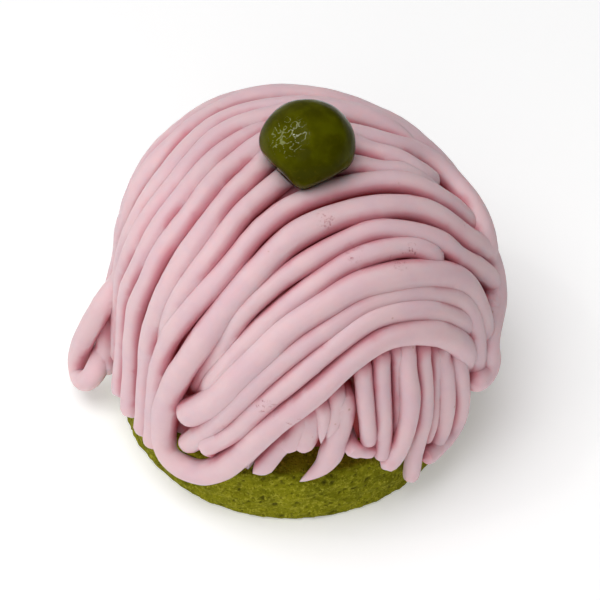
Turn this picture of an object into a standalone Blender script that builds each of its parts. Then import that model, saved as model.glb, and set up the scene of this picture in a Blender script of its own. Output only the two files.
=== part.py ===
"""A mont blanc: a green sponge disc, a dome of pink piped paste in strands, and one candied bean.

Metres, +Z up. The origin is the middle of the sponge's flat underside.
Azimuth 0 is to the right (+X) and 270 to the front (-Y). Elevation is seen from the dome's heart.
"""
import math
import random

import bmesh
import bpy
from mathutils import Vector
from mathutils import noise

MM = 0.001

# Sponge disc.
SPONGE_RADIUS = 29.3 * MM
SPONGE_HEIGHT = 11.5 * MM
SPONGE_RIM_ROUND = 1.4 * MM
SPONGE_FOOT_ROUND = 0.8 * MM
SPONGE_BULGE = 0.3 * MM
SPONGE_ROUGHNESS = 0.45 * MM
SPONGE_BUMP_SIZE = 3.75 * MM
SPONGE_SIDES = 56
SPONGE_GREEN = (0.19, 0.20, 0.02)

# Dome: the surface that the outer strands' tops touch.
DOME_RADIUS = 33.0 * MM
DOME_HEART = 10.0 * MM
DOME_RISE = 46.0 * MM
DOME_DROP = 60.0 * MM
DOME_SQUARENESS = 3.0
DOME_SIDE_STEP = 2.6 * MM
DOME_SIDE_STEP_HEIGHT = 23.0 * MM
DOME_LEAN = 5.5

# Strands of paste, and the solid heart below them. The heart lies deeper in windows where the
# lower strands show, each as (azimuth from, to, elevation up to, depth in millimetres).
STRAND_RADIUS = 2.0 * MM
STRAND_RADIUS_SPREAD = (0.97, 1.04)
STRAND_END_SIZE = 0.8
STRAND_END_REACH = 0.7
STRAND_TIP_SIZE = 0.3
STRAND_SIDES = 6
STRAND_STEP = 3.8 * MM
CORE_DEPTH = 3.0 * MM
CORE_WINDOWS = ((258, 358, 46, 5.6), (250, 336, 44, 8.0), (42, 130, 30, 5.6), (218, 256, 40, 6.5))
CORE_WINDOW_EDGE = 8.0
CORE_LOWEST = 3.0
CORE_HIGHEST = 85.0
CORE_SIDES = 48
CORE_RINGS = 12
PASTE_PINK = (0.78, 0.50, 0.53)

# Candied bean.
BEAN_RADIUS = 7.6 * MM
BEAN_FLATNESS = 0.95
BEAN_CENTRE = Vector((2.5 * MM, 0.4 * MM, 58.9 * MM))
BEAN_WRINKLE = 0.018
BEAN_WRINKLES_ACROSS = 2.2
BEAN_FLATS = (((-0.70, -0.54, -0.46), 5.9 * MM), ((0.45, -0.68, -0.57), 6.2 * MM))
BEAN_FLAT_HARDNESS = 14
BEAN_SIDES = 26
BEAN_RINGS = 15
BEAN_GREEN = (0.05, 0.06, 0.004)

# Gap between touching pieces, and settings of the joined mesh.
GAP = 0.3 * MM
SOLVER = "MANIFOLD"
KEPT_FACES = 0.485
SHARP_ANGLE = math.radians(48)
SEED = 11

# Guide lanes over the dome, left to right, as (azimuth, elevation) in degrees at nine stations.
# Every outer strand follows one of them or runs between two.
LANES = {
    "loop": (
        (244.8, 6), (251, 17), (260, 30), (271, 38.5), (286, 46),
        (302, 48.5), (317, 44), (325, 36.5), (331, 23.5),
    ),
    "shelf": (
        (232, 23), (241.5, 32.5), (253.5, 45), (267.5, 53.8), (285, 58.5),
        (304, 59.8), (324, 55.5), (337, 46.6), (339, 34.7),
    ),
    "brow": (
        (236, 35), (242, 47), (252, 56), (266, 63), (284, 67),
        (307, 68.5), (328, 65.5), (341, 56), (349, 43),
    ),
    "crest": (
        (223, 19), (227, 31.8), (233.5, 42.4), (244, 55), (260, 65.5),
        (288, 73), (328, 71.3), (350.5, 60.5), (354.5, 47.8),
    ),
    "ridge": (
        (218.3, 2), (218, 24), (223, 40), (231, 51.7), (243.5, 63.2),
        (262, 75), (309, 79.5), (0.5, 65), (3.2, 49.2),
    ),
    "spine": (
        (213.4, 3), (212.2, 21), (214.5, 37), (219.3, 50.3), (224.5, 67),
        (213, 82), (60, 79), (28, 65), (26, 57),
    ),
    "flank": (
        (181, 2), (181, 16), (183, 34), (189, 52), (177, 66),
        (128, 71), (75, 69), (42, 58), (20, 38),
    ),
    "shoulder": (
        (166, -3), (167, 14), (169, 33), (166, 50), (146, 60),
        (106, 59), (70, 55), (42, 44), (25, 22),
    ),
    "back": (
        (128, -5), (128, 7), (126, 20), (118, 30), (104, 34),
        (84, 33), (64, 28), (50, 16), (44, -2),
    ),
}

# Lower strands at the sides: width as a share of the usual one, azimuth where the strand starts
# and ends, elevation of its two ends, lift of its two ends in millimetres, and the sideways hook
# of its foot in degrees of azimuth.
SIDE_DROPS = (
    (1.0, 172, 173, 36, 0, -1.8, -0.4, -3),
    (1.0, 182, 181, 42, 1, -1.8, -0.4, 3),
    (0.9, 334, 335, 34, 14, -2.6, -2.2, 1),
    (0.9, 342, 343, 30, 11, -2.4, -2.0, -1),
    (1.0, 350, 351, 30, 6, -2.2, -1.2, 2),
    (1.0, 358, 358, 44, 2, -2.2, -0.9, 3),
    (1.0, 5, 4, 52, -2, -2.0, -0.4, 3),
)

# Lower strands at the front: width, length of the pointed tip in millimetres, and the stops of
# the route, as azimuth, elevation and lift in millimetres.
FRONT_ROOT_RISE = 5.0
FRONT_ROOT_LIFT = -6.6
FRONT_STRANDS = (
    (0.85, 3.0, ((265, 25, -2.6), (260, 17.5, -1.6), (257, 11, -1.2), (254, 6, -1.0))),
    (0.90, 0.0, ((269, 33, -2.8), (267.5, 27, -1.8), (265, 22, -1.4), (262.5, 19.4, -1.2))),
    (1.00, 0.0, ((272.5, 35, -2.8), (271, 28.5, -1.8), (269, 22.6, -1.4), (266.8, 19.4, -1.2))),
    (0.62, 6.0, ((275, 37, -2.0), (275.5, 32, -1.4), (274.5, 27, -1.0), (274, 22, -1.0))),
    (0.75, 4.0, ((280, 40, -2.2), (279.5, 35, -1.8), (278, 30, -1.6), (276, 23, -1.6))),
    (1.00, 8.0, ((281.7, 37, -2.4), (281, 31, -1.9), (279.6, 24, -1.5), (278, 17, -1.2),
                 (275.6, 11, -1.0), (272, 7, -0.8), (269, 4, -0.8))),
    (0.72, 0.0, ((283.5, 19, -1.3), (287, 16.5, -1.3), (291.5, 14, -1.5))),
    (0.74, 0.0, ((290.7, 45, -2.1), (290, 41, -1.6), (289, 34, -1.3), (288.7, 25, -1.2),
                 (288.8, 18, -1.2))),
    (0.74, 0.0, ((298, 46, -2.1), (296.5, 42, -1.6), (295, 36, -1.4), (294.2, 27.5, -1.3),
                 (293.6, 18, -1.2), (293.4, 10, -1.0))),
    (0.60, 0.0, ((304, 46, -2.5), (303, 42, -2.2), (300.5, 33, -2.2), (299.6, 24, -2.0),
                 (299.4, 15, -1.8))),
    (0.80, 0.0, ((307.8, 46, -1.8), (306.3, 43, -0.9), (304, 38, -0.5), (302.8, 30, -0.4),
                 (300.8, 21, -0.4), (299, 15, -0.3), (297, 10, -0.2), (293.5, 7, 0.0))),
    (0.72, 0.0, ((313, 43, -2.1), (310.6, 38, -1.4), (309, 31, -1.1), (308, 22, -1.0),
                 (306.8, 11, -0.9), (306.4, 2, -0.8), (307.6, -9, -0.8))),
    (0.60, 0.0, ((317.7, 40, -2.7), (314.5, 27, -2.4), (313, 13, -2.0), (311, 5, -1.8))),
    (0.86, 0.0, ((320.7, 39, -2.3), (319, 35, -1.6), (318.2, 25, -1.3), (318.2, 14, -1.2),
                 (317.4, 5, -1.0), (314.7, -1, -0.9))),
    (0.88, 0.0, ((325.2, 35, -2.2), (324, 31.5, -1.2), (324.2, 23, -0.7), (325, 11, -0.5),
                 (323.8, 3, -0.4), (320, 0.5, -0.3), (314.7, 0, -0.1), (309, 0.5, 0.2))),
)

# The regular row of lower strands at the back.
BACK_DROPS_FROM = 48
BACK_DROPS_TO = 126
BACK_DROP_PITCH = 7.8
BACK_DROP_TOP = 36
BACK_DROP_LIFTS = (-2.4, -0.6)
BACK_DROP_FOOT_SPREAD = 8
BACK_DROP_HOOK_SPREAD = 7
BACK_DROP_SLANT_SPREAD = 2


def clear_scene():
    """Remove every object, so that only this model is left."""
    for item in list(bpy.data.objects):
        bpy.data.objects.remove(item, do_unlink=True)


def make_material(name, colour, roughness):
    """A Principled material with one colour."""
    material = bpy.data.materials.new(name)
    material.use_nodes = True
    shader = material.node_tree.nodes["Principled BSDF"]
    shader.inputs["Base Color"].default_value = (*colour, 1.0)
    shader.inputs["Roughness"].default_value = roughness
    shader.inputs["Metallic"].default_value = 0.0
    return material


def make_object(name, vertices, faces):
    """A mesh object from plain lists, with its faces pointing out."""
    mesh = bpy.data.meshes.new(name)
    mesh.from_pydata([tuple(vertex) for vertex in vertices], [], faces)
    work = bmesh.new()
    work.from_mesh(mesh)
    bmesh.ops.recalc_face_normals(work, faces=work.faces)
    bmesh.ops.triangulate(work, faces=work.faces)
    work.to_mesh(mesh)
    work.free()
    item = bpy.data.objects.new(name, mesh)
    bpy.context.scene.collection.objects.link(item)
    return item


def ring_faces(rings, sides):
    """Faces of a stack of closed rings, with a point below the first and above the last."""
    faces = []
    for ring in range(rings - 1):
        for side in range(sides):
            here = ring * sides + side
            beside = ring * sides + (side + 1) % sides
            faces.append((here, beside, beside + sides, here + sides))
    first_tip = rings * sides
    last_tip = first_tip + 1
    top = (rings - 1) * sides
    for side in range(sides):
        beside = (side + 1) % sides
        faces.append((first_tip, beside, side))
        faces.append((last_tip, top + side, top + beside))
    return faces


def smoothstep(low, high, value):
    """0 below low, 1 above high, and a smooth rise between."""
    share = min(max((value - low) / (high - low), 0.0), 1.0)
    return share * share * (3.0 - 2.0 * share)


def direction(azimuth, elevation):
    """Unit vector from two angles in degrees."""
    turn = math.radians(azimuth)
    rise = math.radians(elevation)
    return Vector((math.cos(rise) * math.cos(turn), math.cos(rise) * math.sin(turn), math.sin(rise)))


def dome_axis(height):
    """Sideways place of the dome's axis: it bows to the right at mid height."""
    return DOME_SIDE_STEP - DOME_LEAN * (height - DOME_SIDE_STEP_HEIGHT) ** 2


def dome_point(way, depth):
    """Point at a depth below the dome's surface, in a direction from its heart."""
    flat = math.hypot(way.x, way.y)
    reach = (DOME_RISE if way.z >= 0.0 else DOME_DROP) - depth
    power = DOME_SQUARENESS
    size = (flat / (DOME_RADIUS - depth)) ** power + (abs(way.z) / reach) ** power
    radius = size ** (-1.0 / power)
    height = DOME_HEART + radius * way.z
    return Vector((dome_axis(height) + radius * way.x, radius * way.y, height))


def places(*stops):
    """Directions and lifts of a strand's loose stretch, from azimuth, elevation and lift."""
    return [(direction(turn, rise), lift * MM) for turn, rise, lift in stops]


def lane(low, high=None, shares=(0.0, 0.0), first=0, last=8, lifts=(0.0, 0.0)):
    """Directions and lifts of a stretch along a guide lane, or between two lanes."""
    route = []
    for station in range(first, last + 1):
        along = station / 8.0
        way = direction(*LANES[low][station])
        if high is not None:
            share = shares[0] + (shares[1] - shares[0]) * along
            way = way.lerp(direction(*LANES[high][station]), share).normalized()
        route.append((way, (lifts[0] + (lifts[1] - lifts[0]) * along) * MM))
    return route


def outer_strands():
    """Width, tip length and route of every outer strand, from the front to the back."""
    knob = places((327, 20.4, 0.9), (330.5, 18.8, 1.4), (334, 18, 1.6), (337, 20, 1.6),
                  (338.5, 25, 1.2), (343.7, 27.5, 1.0), (352.2, 29.5, 0.8), (0.5, 36.5, 0.4))
    turn = places((222.3, 8, 0.3), (223.2, 1.5, 0.3), (226.5, -2.2, 0.3), (232.3, -3.0, 0.3),
                  (239.2, -0.8, 0.3))
    return [
        (1.12, 0.0, knob + lane("crest", lifts=(0.3, 0.3))[::-1] + turn
            + lane("loop", last=7, lifts=(0.3, 0.2))
            + places((328, 30.6, -0.4), (330.5, 25, -1.4), (333.5, 19, -2.6))),
        (0.92, 5.0, places((333.7, 33.8, -2.2)) + lane("loop", "shelf", (0.42, 0.38), 0, 7)[::-1]
            + places((242.8, 8, -1.4))),
        (0.92, 0.0, places((228, 5.6, -1.6), (232, 8.6, -1.0))
            + lane("loop", "shelf", (0.74, 0.66), 1, 6, (0, -0.5))
            + places((331.2, 45.5, -0.2), (333.6, 40.6, 0), (333.8, 35.7, 0), (333, 29.4, 0),
                     (332.8, 20.4, 0), (331.5, 14.7, 0))),
        (1.22, 0.0, places((229.5, 21, -0.4)) + lane("shelf", last=8, lifts=(0.2, 0.5))
            + places((340, 27, 0.1), (345, 15, 0.0))),
        (0.88, 0.0, places((231.5, 25.7, -4.0), (235.8, 32.1, -2.8))
            + lane("shelf", "brow", (0.45, 0.55), 1, 5, (-1.2, 0.3))
            + places((328.8, 60.1, 0.2), (334.9, 55.9, 0.0), (336.6, 53.3, -1.2))),
        (0.88, 0.0, places((224, 19, -5.0), (228.4, 28.2, -3.8), (234.4, 37.9, -2.8),
                           (241.9, 45.7, -1.8))
            + lane("brow", first=2, last=7, lifts=(-0.9, 0.3))
            + places((344.2, 49.4, 0.1), (349.2, 42.9, 0.1), (354.5, 34.3, 0.3), (352.9, 30.2, 0.3),
                     (345.7, 31.3, 0.0))),
        (0.95, 0.0, places((219, -4, 0.3)) + lane("ridge")
            + places((3.2, 43, 0), (4, 38.5, -0.5), (6, 33, -1.6))),
        (0.95, 0.0, places((217.5, 28, -2.8), (219.6, 38, -1.6))
            + lane("ridge", "spine", (0.5, 0.5), 3, 6)
            + places((7.4, 74.7, 0), (6, 69, 0), (8.5, 64.5, 0), (8, 61, -0.5), (9, 56, -1.9))),
        (1.0, 0.0, places((214.5, -3, 0.3)) + lane("spine")
            + places((20, 52, 0.6), (13, 48.7, 1.2), (7, 46, 1.6), (2, 43.6, 1.6), (0, 40.5, 1.0),
                     (1, 37, 0.0))),
        (0.97, 0.0, places((206, -4, 0.3)) + lane("spine", "flank", (0.31, 0.29), 0, 6)
            + places((40, 74, 0), (21, 70, 0), (17, 64.5, 0), (13.5, 60, -0.2), (14.5, 55.5, -1.4))),
        (0.97, 0.0, places((197.5, -4, 0.3)) + lane("spine", "flank", (0.56, 0.52), 0, 5)
            + places((90, 76, -1.5), (60, 76, -3))),
        (1.0, 0.0, lane("spine", "flank", (0.79, 0.77), 0, 7) + places((22, 54, -2.4))),
        (1.0, 0.0, places((178, 16, 0.4), (180, 8, 1.4), (184, 1, 2.8), (188, -2, 4.2), (187, -6, 5.4),
                          (183, -7, 6.2), (181, -1, 6.4), (183, 11, 5.2), (186, 24, 3.2))
            + lane("flank", first=2) + places((15, 18, 0), (16, 0, 0))),
        (1.0, 0.0, places((188, -4, 1.6), (184, 2, 2.2), (181, 12, 2.2), (178, 22, 1.2))
            + lane("flank", "shoulder", (0.62, 0.62), 2) + places((22, 12, 0), (23, -3, 0))),
        (1.0, 0.0, lane("shoulder") + places((28, 6, 0), (30, -4, 0))),
        (1.0, 0.0, lane("shoulder", "back", (0.2, 0.2))),
        (1.0, 0.0, lane("shoulder", "back", (0.4, 0.4)) + places((34, -3, 0))),
        (1.0, 0.0, lane("shoulder", "back", (0.6, 0.6)) + places((37, -5, 0))),
        (1.0, 0.0, lane("shoulder", "back", (0.8, 0.8))),
        (1.0, 0.0, lane("back")),
    ]


def drop_route(start, end, top, foot, top_lift, foot_lift, hook):
    """A lower strand that runs down to the sponge, with a foot that hooks sideways."""
    stations = 5
    route = []
    for station in range(stations):
        share = station / (stations - 1)
        turn = start + (end - start) * share + hook * share ** 4
        rise = top + (foot - top) * (1.0 - (1.0 - share) ** 1.25)
        lift = top_lift + (foot_lift - top_lift) * share
        route.append((direction(turn, rise), lift * MM))
    return route


def lower_strands():
    """The lower strands: chosen ones at the sides and front, and a regular row at the back."""
    strands = [(width, 0.0, drop_route(*drop)) for width, *drop in SIDE_DROPS]
    for width, tip, stops in FRONT_STRANDS:
        azimuth, elevation, _ = stops[0]
        root = (azimuth, elevation + FRONT_ROOT_RISE, FRONT_ROOT_LIFT)
        strands.append((width, tip, places(root, *stops)))
    chance = random.Random(SEED)
    turn = BACK_DROPS_FROM
    while turn < BACK_DROPS_TO:
        foot = chance.uniform(-BACK_DROP_FOOT_SPREAD, BACK_DROP_FOOT_SPREAD)
        hook = chance.uniform(-BACK_DROP_HOOK_SPREAD, BACK_DROP_HOOK_SPREAD)
        slant = chance.uniform(-BACK_DROP_SLANT_SPREAD, BACK_DROP_SLANT_SPREAD)
        route = drop_route(turn, turn + slant, BACK_DROP_TOP, foot, *BACK_DROP_LIFTS, hook)
        strands.append((1.0, 0.0, route))
        turn += BACK_DROP_PITCH
    return strands


def curve_value(before, start, end, after, share):
    """Catmull-Rom value between start and end."""
    return 0.5 * (2.0 * start + (end - before) * share
                  + (2.0 * before - 5.0 * start + 4.0 * end - after) * share ** 2
                  + (3.0 * start - before - 3.0 * end + after) * share ** 3)


def route_points(route, radius, step):
    """Evenly spaced points along the smooth curve that a route describes below the dome."""
    fine = 12
    ends = [route[0]] + list(route) + [route[-1]]
    dense = []
    for index in range(1, len(ends) - 2):
        for part in range(fine):
            share = part / fine
            ways = [ends[index + offset][0] for offset in (-1, 0, 1, 2)]
            lifts = [ends[index + offset][1] for offset in (-1, 0, 1, 2)]
            way = curve_value(*ways, share).normalized()
            dense.append(dome_point(way, radius - curve_value(*lifts, share)))
    dense.append(dome_point(route[-1][0], radius - route[-1][1]))
    reach = [0.0]
    for start, end in zip(dense, dense[1:]):
        reach.append(reach[-1] + (end - start).length)
    count = max(2, round(reach[-1] / step))
    points = []
    index = 0
    for part in range(count + 1):
        wanted = reach[-1] * part / count
        while index < len(reach) - 2 and reach[index + 1] < wanted:
            index += 1
        share = (wanted - reach[index]) / (reach[index + 1] - reach[index])
        points.append(dense[index].lerp(dense[index + 1], share))
    return points


def make_strand(name, points, radius, tip):
    """A round strand with blunt ends along a line of points, or with a pointed far end."""
    heart = Vector((DOME_SIDE_STEP, 0.0, DOME_HEART))
    vertices = []
    count = len(points)
    for index, point in enumerate(points):
        along = (points[min(index + 1, count - 1)] - points[max(index - 1, 0)]).normalized()
        outward = (point - heart).normalized()
        side = along.cross(outward).normalized()
        up = side.cross(along)
        size = radius * (STRAND_END_SIZE if index in (0, count - 1) else 1.0)
        left = (points[-1] - point).length
        if left < tip * MM:
            size = radius * max(STRAND_TIP_SIZE, (left / (tip * MM)) ** 0.7)
        for corner in range(STRAND_SIDES):
            angle = math.tau * corner / STRAND_SIDES
            vertices.append(point + size * (math.cos(angle) * up + math.sin(angle) * side))
    reach = radius * STRAND_END_REACH
    vertices.append(points[0] + (points[0] - points[1]).normalized() * reach)
    vertices.append(points[-1] + (points[-1] - points[-2]).normalized() * reach)
    return make_object(name, vertices, ring_faces(count, STRAND_SIDES))


def core_depth(azimuth, elevation):
    """Depth of the heart below the dome: deeper where the lower strands show."""
    depth = CORE_DEPTH
    for low, high, top, opening in CORE_WINDOWS:
        inside = smoothstep(low, low + CORE_WINDOW_EDGE, azimuth)
        inside *= 1.0 - smoothstep(high - CORE_WINDOW_EDGE, high, azimuth)
        inside *= 1.0 - smoothstep(top - CORE_WINDOW_EDGE, top, elevation)
        depth = max(depth, CORE_DEPTH + (opening * MM - CORE_DEPTH) * inside)
    return depth


def make_core():
    """The paste's solid heart, flat where it sits on the sponge."""
    floor = SPONGE_HEIGHT + GAP
    vertices = []
    for ring in range(CORE_RINGS):
        elevation = CORE_LOWEST + (CORE_HIGHEST - CORE_LOWEST) * ring / (CORE_RINGS - 1)
        for side in range(CORE_SIDES):
            azimuth = 360.0 * side / CORE_SIDES
            point = dome_point(direction(azimuth, elevation), core_depth(azimuth, elevation))
            if ring == 0:
                point.z = floor
            vertices.append(point)
    vertices.append(Vector((0.0, 0.0, floor)))
    vertices.append(dome_point(Vector((0.0, 0.0, 1.0)), CORE_DEPTH))
    return make_object("piped_paste", vertices, ring_faces(CORE_RINGS, CORE_SIDES))


def sponge_profile():
    """Radius and height of the sponge's side, from the underside's edge to the top's edge."""
    profile = []
    for part in range(3):
        angle = math.radians(45.0 * part)
        profile.append((SPONGE_RADIUS - SPONGE_FOOT_ROUND * (1.0 - math.sin(angle)),
                        SPONGE_FOOT_ROUND * (1.0 - math.cos(angle))))
    profile.append((SPONGE_RADIUS + SPONGE_BULGE, SPONGE_HEIGHT / 2.0))
    for part in range(4):
        angle = math.radians(30.0 * part)
        profile.append((SPONGE_RADIUS - SPONGE_RIM_ROUND * (1.0 - math.cos(angle)),
                        SPONGE_HEIGHT - SPONGE_RIM_ROUND * (1.0 - math.sin(angle))))
    return profile


def make_sponge(name, growth):
    """The sponge disc with its uneven side, or a copy with its side and top grown for cutting."""
    vertices = []
    profile = sponge_profile()
    for radius, height in profile:
        side_share = min(height / SPONGE_FOOT_ROUND, 1.0)
        for side in range(SPONGE_SIDES):
            angle = math.tau * side / SPONGE_SIDES
            place = Vector((radius * math.cos(angle), radius * math.sin(angle), height))
            bump = SPONGE_ROUGHNESS * noise.noise(place / SPONGE_BUMP_SIZE) * side_share
            reach = radius + bump + growth
            level = height + growth if height > SPONGE_HEIGHT / 2.0 else height
            vertices.append(Vector((reach * math.cos(angle), reach * math.sin(angle), level)))
    vertices.append(Vector((0.0, 0.0, 0.0)))
    vertices.append(Vector((0.0, 0.0, SPONGE_HEIGHT + growth)))
    return make_object(name, vertices, ring_faces(len(profile), SPONGE_SIDES))


def bean_reach(way):
    """Distance of the bean's skin from its middle: a ball with two soft flats and wrinkles."""
    size = BEAN_RADIUS ** -BEAN_FLAT_HARDNESS
    for facing, distance in BEAN_FLATS:
        towards = way.dot(Vector(facing))
        if towards > 0.0:
            size += (distance / towards) ** -BEAN_FLAT_HARDNESS
    wrinkle = BEAN_WRINKLE * noise.noise(way * BEAN_WRINKLES_ACROSS)
    return size ** (-1.0 / BEAN_FLAT_HARDNESS) * (1.0 + wrinkle)


def make_bean(name, growth):
    """The candied bean: a slightly flattened, wrinkled ball with two soft flats."""
    vertices = []
    for ring in range(1, BEAN_RINGS):
        fall = math.pi * ring / BEAN_RINGS - math.pi / 2.0
        for side in range(BEAN_SIDES):
            angle = math.tau * side / BEAN_SIDES
            flat = math.cos(fall)
            way = Vector((flat * math.cos(angle), flat * math.sin(angle), math.sin(fall)))
            reach = bean_reach(way) + growth
            vertices.append(BEAN_CENTRE + reach * Vector((way.x, way.y, way.z * BEAN_FLATNESS)))
    for way in (Vector((0.0, 0.0, -1.0)), Vector((0.0, 0.0, 1.0))):
        vertices.append(BEAN_CENTRE + (bean_reach(way) + growth) * BEAN_FLATNESS * way)
    return make_object(name, vertices, ring_faces(BEAN_RINGS - 1, BEAN_SIDES))


def apply_modifiers(item):
    """Replace an object's mesh by its evaluated one."""
    graph = bpy.context.evaluated_depsgraph_get()
    result = bpy.data.meshes.new_from_object(item.evaluated_get(graph))
    item.modifiers.clear()
    item.data = result


def fuse(body, pieces):
    """Join all pieces to the body by one union."""
    group = bpy.data.collections.new("strands")
    bpy.context.scene.collection.children.link(group)
    for piece in pieces:
        bpy.context.scene.collection.objects.unlink(piece)
        group.objects.link(piece)
    union = body.modifiers.new("union", "BOOLEAN")
    union.operation = "UNION"
    union.operand_type = "COLLECTION"
    union.solver = SOLVER
    union.collection = group
    apply_modifiers(body)
    for piece in pieces:
        bpy.data.objects.remove(piece, do_unlink=True)
    bpy.data.collections.remove(group)


def carve(body, cutter):
    """Take a cutter's shape out of the body."""
    cut = body.modifiers.new("cut", "BOOLEAN")
    cut.operation = "DIFFERENCE"
    cut.solver = SOLVER
    cut.object = cutter
    apply_modifiers(body)
    bpy.data.objects.remove(cutter, do_unlink=True)


def keep_largest(item):
    """Keep the largest closed shell, which drops scraps and fills sealed hollows."""
    work = bmesh.new()
    work.from_mesh(item.data)
    unseen = set(work.verts)
    shells = []
    while unseen:
        stack = [unseen.pop()]
        shell = set(stack)
        while stack:
            for edge in stack.pop().link_edges:
                for vertex in edge.verts:
                    if vertex in unseen:
                        unseen.remove(vertex)
                        shell.add(vertex)
                        stack.append(vertex)
        shells.append(shell)
    shells.sort(key=len, reverse=True)
    for shell in shells[1:]:
        bmesh.ops.delete(work, geom=list(shell), context="VERTS")
    bmesh.ops.triangulate(work, faces=work.faces)
    work.to_mesh(item.data)
    work.free()


def thin_out(item, ratio):
    """Merge needless small faces, so that about a share of them stays."""
    thinner = item.modifiers.new("thinner", "DECIMATE")
    thinner.ratio = ratio
    apply_modifiers(item)


def build():
    """Make the three pieces."""
    clear_scene()
    sponge = make_sponge("sponge_base", 0.0)
    bean = make_bean("candied_bean", 0.0)
    paste = make_core()
    chance = random.Random(SEED)
    strands = []
    for index, (width, tip, route) in enumerate(outer_strands() + lower_strands()):
        radius = STRAND_RADIUS * width * chance.uniform(*STRAND_RADIUS_SPREAD)
        points = route_points(route, radius, STRAND_STEP)
        strands.append(make_strand(f"strand_{index}", points, radius, tip))
    fuse(paste, strands)
    keep_largest(paste)
    thin_out(paste, KEPT_FACES)
    carve(paste, make_sponge("sponge_cutter", GAP))
    carve(paste, make_bean("bean_cutter", GAP))
    keep_largest(paste)
    sponge.data.materials.append(make_material("sponge_green", SPONGE_GREEN, 0.85))
    paste.data.materials.clear()
    paste.data.materials.append(make_material("paste_pink", PASTE_PINK, 0.55))
    bean.data.materials.append(make_material("bean_green", BEAN_GREEN, 0.2))
    for item in (sponge, paste, bean):
        item.data.shade_smooth()
        item.data.set_sharp_from_angle(angle=SHARP_ANGLE)


build()
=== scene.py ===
import math
import random

import bmesh
import bpy
import numpy as np
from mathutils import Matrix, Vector, noise
from mathutils.bvhtree import BVHTree


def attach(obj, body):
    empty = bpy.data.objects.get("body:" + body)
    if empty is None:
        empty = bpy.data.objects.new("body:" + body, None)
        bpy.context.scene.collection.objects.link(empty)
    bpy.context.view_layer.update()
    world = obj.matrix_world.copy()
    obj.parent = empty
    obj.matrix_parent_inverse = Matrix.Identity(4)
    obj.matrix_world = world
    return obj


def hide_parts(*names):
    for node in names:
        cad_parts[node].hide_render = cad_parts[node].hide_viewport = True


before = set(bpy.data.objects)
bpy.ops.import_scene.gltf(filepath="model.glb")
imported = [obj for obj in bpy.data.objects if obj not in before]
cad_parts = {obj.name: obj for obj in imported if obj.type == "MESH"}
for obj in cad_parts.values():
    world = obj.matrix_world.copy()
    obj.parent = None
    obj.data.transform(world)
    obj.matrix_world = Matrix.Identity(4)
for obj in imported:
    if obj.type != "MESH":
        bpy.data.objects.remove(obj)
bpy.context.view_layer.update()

MM = 0.001

# Lengths are in millimetres and angles in degrees, and a strand's width is a share of the usual
# one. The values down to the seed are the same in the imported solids.
SPONGE_RADIUS = 29.3
SPONGE_HEIGHT = 11.5
SPONGE_BULGE = 0.3
SPONGE_ROUGHNESS = 0.45
SPONGE_BUMP_SIZE = 3.75
SPONGE_FOOT_ROUND = 0.8
DOME_RADIUS = 33.0
DOME_HEART = 10.0
DOME_RISE = 46.0
DOME_DROP = 60.0
DOME_SQUARENESS = 3.0
DOME_SIDE_STEP = 2.6
DOME_SIDE_STEP_HEIGHT = 23.0
DOME_LEAN = 0.0055
STRAND_RADIUS = 2.0
STRAND_RADIUS_SPREAD = (0.97, 1.04)
CORE_DEPTH = 3.0
CORE_WINDOW_EDGE = 8.0
BEAN_RADIUS = 7.6
BEAN_FLATNESS = 0.95
BEAN_CENTRE = np.array((2.5, 0.4, 58.9))
BEAN_WRINKLE = 0.018
BEAN_WRINKLES_ACROSS = 2.2
BEAN_FLATS = (((-0.70, -0.54, -0.46), 5.9), ((0.45, -0.68, -0.57), 6.2))
BEAN_FLAT_HARDNESS = 14
SEED = 11

# Windows where the paste's heart lies deeper: two azimuths, the top elevation and the depth. The
# second is deeper and the last shallower than in the solids.
CORE_WINDOWS = (
    (258, 358, 46, 5.6), (250, 336, 44, 10.0), (42, 130, 30, 5.6), (218, 256, 40, 4.6),
)
# Fineness of the heart's mesh, the elevations of its rings, and its height above the sponge.
CORE_SIDES = 120
CORE_RINGS = 36
CORE_RISE = (3.0, 85.0)
CORE_FLOOR_GAP = 0.3

# Detail of the strands that only the looks have: spacing of the points along a strand, sides of a
# strand, and the lengths of the slow waves in its route and width.
STRAND_STEP = 0.8
STRAND_SIDES = 16
STRAND_WAVES = (41.0, 23.0, 12.0)
WAVE_START = 6.3
WOBBLE = 0.12
SWELL = 0.02
# Rounded ends: length as a share of the radius, and the smallest share of the width. Pointed ends:
# the smallest share of the width and the power of the taper.
END_LENGTH = 0.9
END_LEAST = 0.02
TIP_LEAST = 0.12
TIP_POWER = 0.7
CONTACT_GAP = 0.05

# Fine grain of the paste's skin: height, size and place in the noise.
GRAIN_HEIGHT = 0.05
GRAIN_SIZE = 1.7
GRAIN_SHIFT = (3, 1, 4)
SHARP_ANGLE = 42
# Crumbly spots of the paste's skin, as azimuth and elevation, their depth and their radius.
CRUMB_SPOTS = ((306, 72.7), (306.9, 65), (319.4, 59.2), (326.7, 58.8), (356.5, 51.4),
               (258.2, 36.1), (260.4, 35), (267, 31.9))
CRUMB_SPOT_DEPTH = 0.3
CRUMB_SPOT_RADIUS = 2.0
# How shut in the skin is, for the painted shade in the grooves and recesses: rays at each vertex,
# how far off the skin they start, how far they reach for each value, and how the values are
# blended.
CROWD_RAYS = 14
CROWD_START = 0.1
CROWD_REACHES = {"groove_shade": 2.2, "crowd_shade": 7.0}
CROWD_ROUNDS = 3
CROWD_SHARE = 0.5

# Sponge: a rim a little rounder than the solid's, sides, rings on the underside, foot, side, rim
# and top, the height where the side's rings start, and how far from the rim's corner the rings of
# the side and the top end.
SPONGE_RIM_ROUND = 1.6
SPONGE_SIDES = 440
SPONGE_RINGS = {"under": 26, "foot": 6, "side": 26, "rim": 9, "top": 40}
SPONGE_SIDE_START = 1.1
SPONGE_RIM_REACH = 2.0
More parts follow.
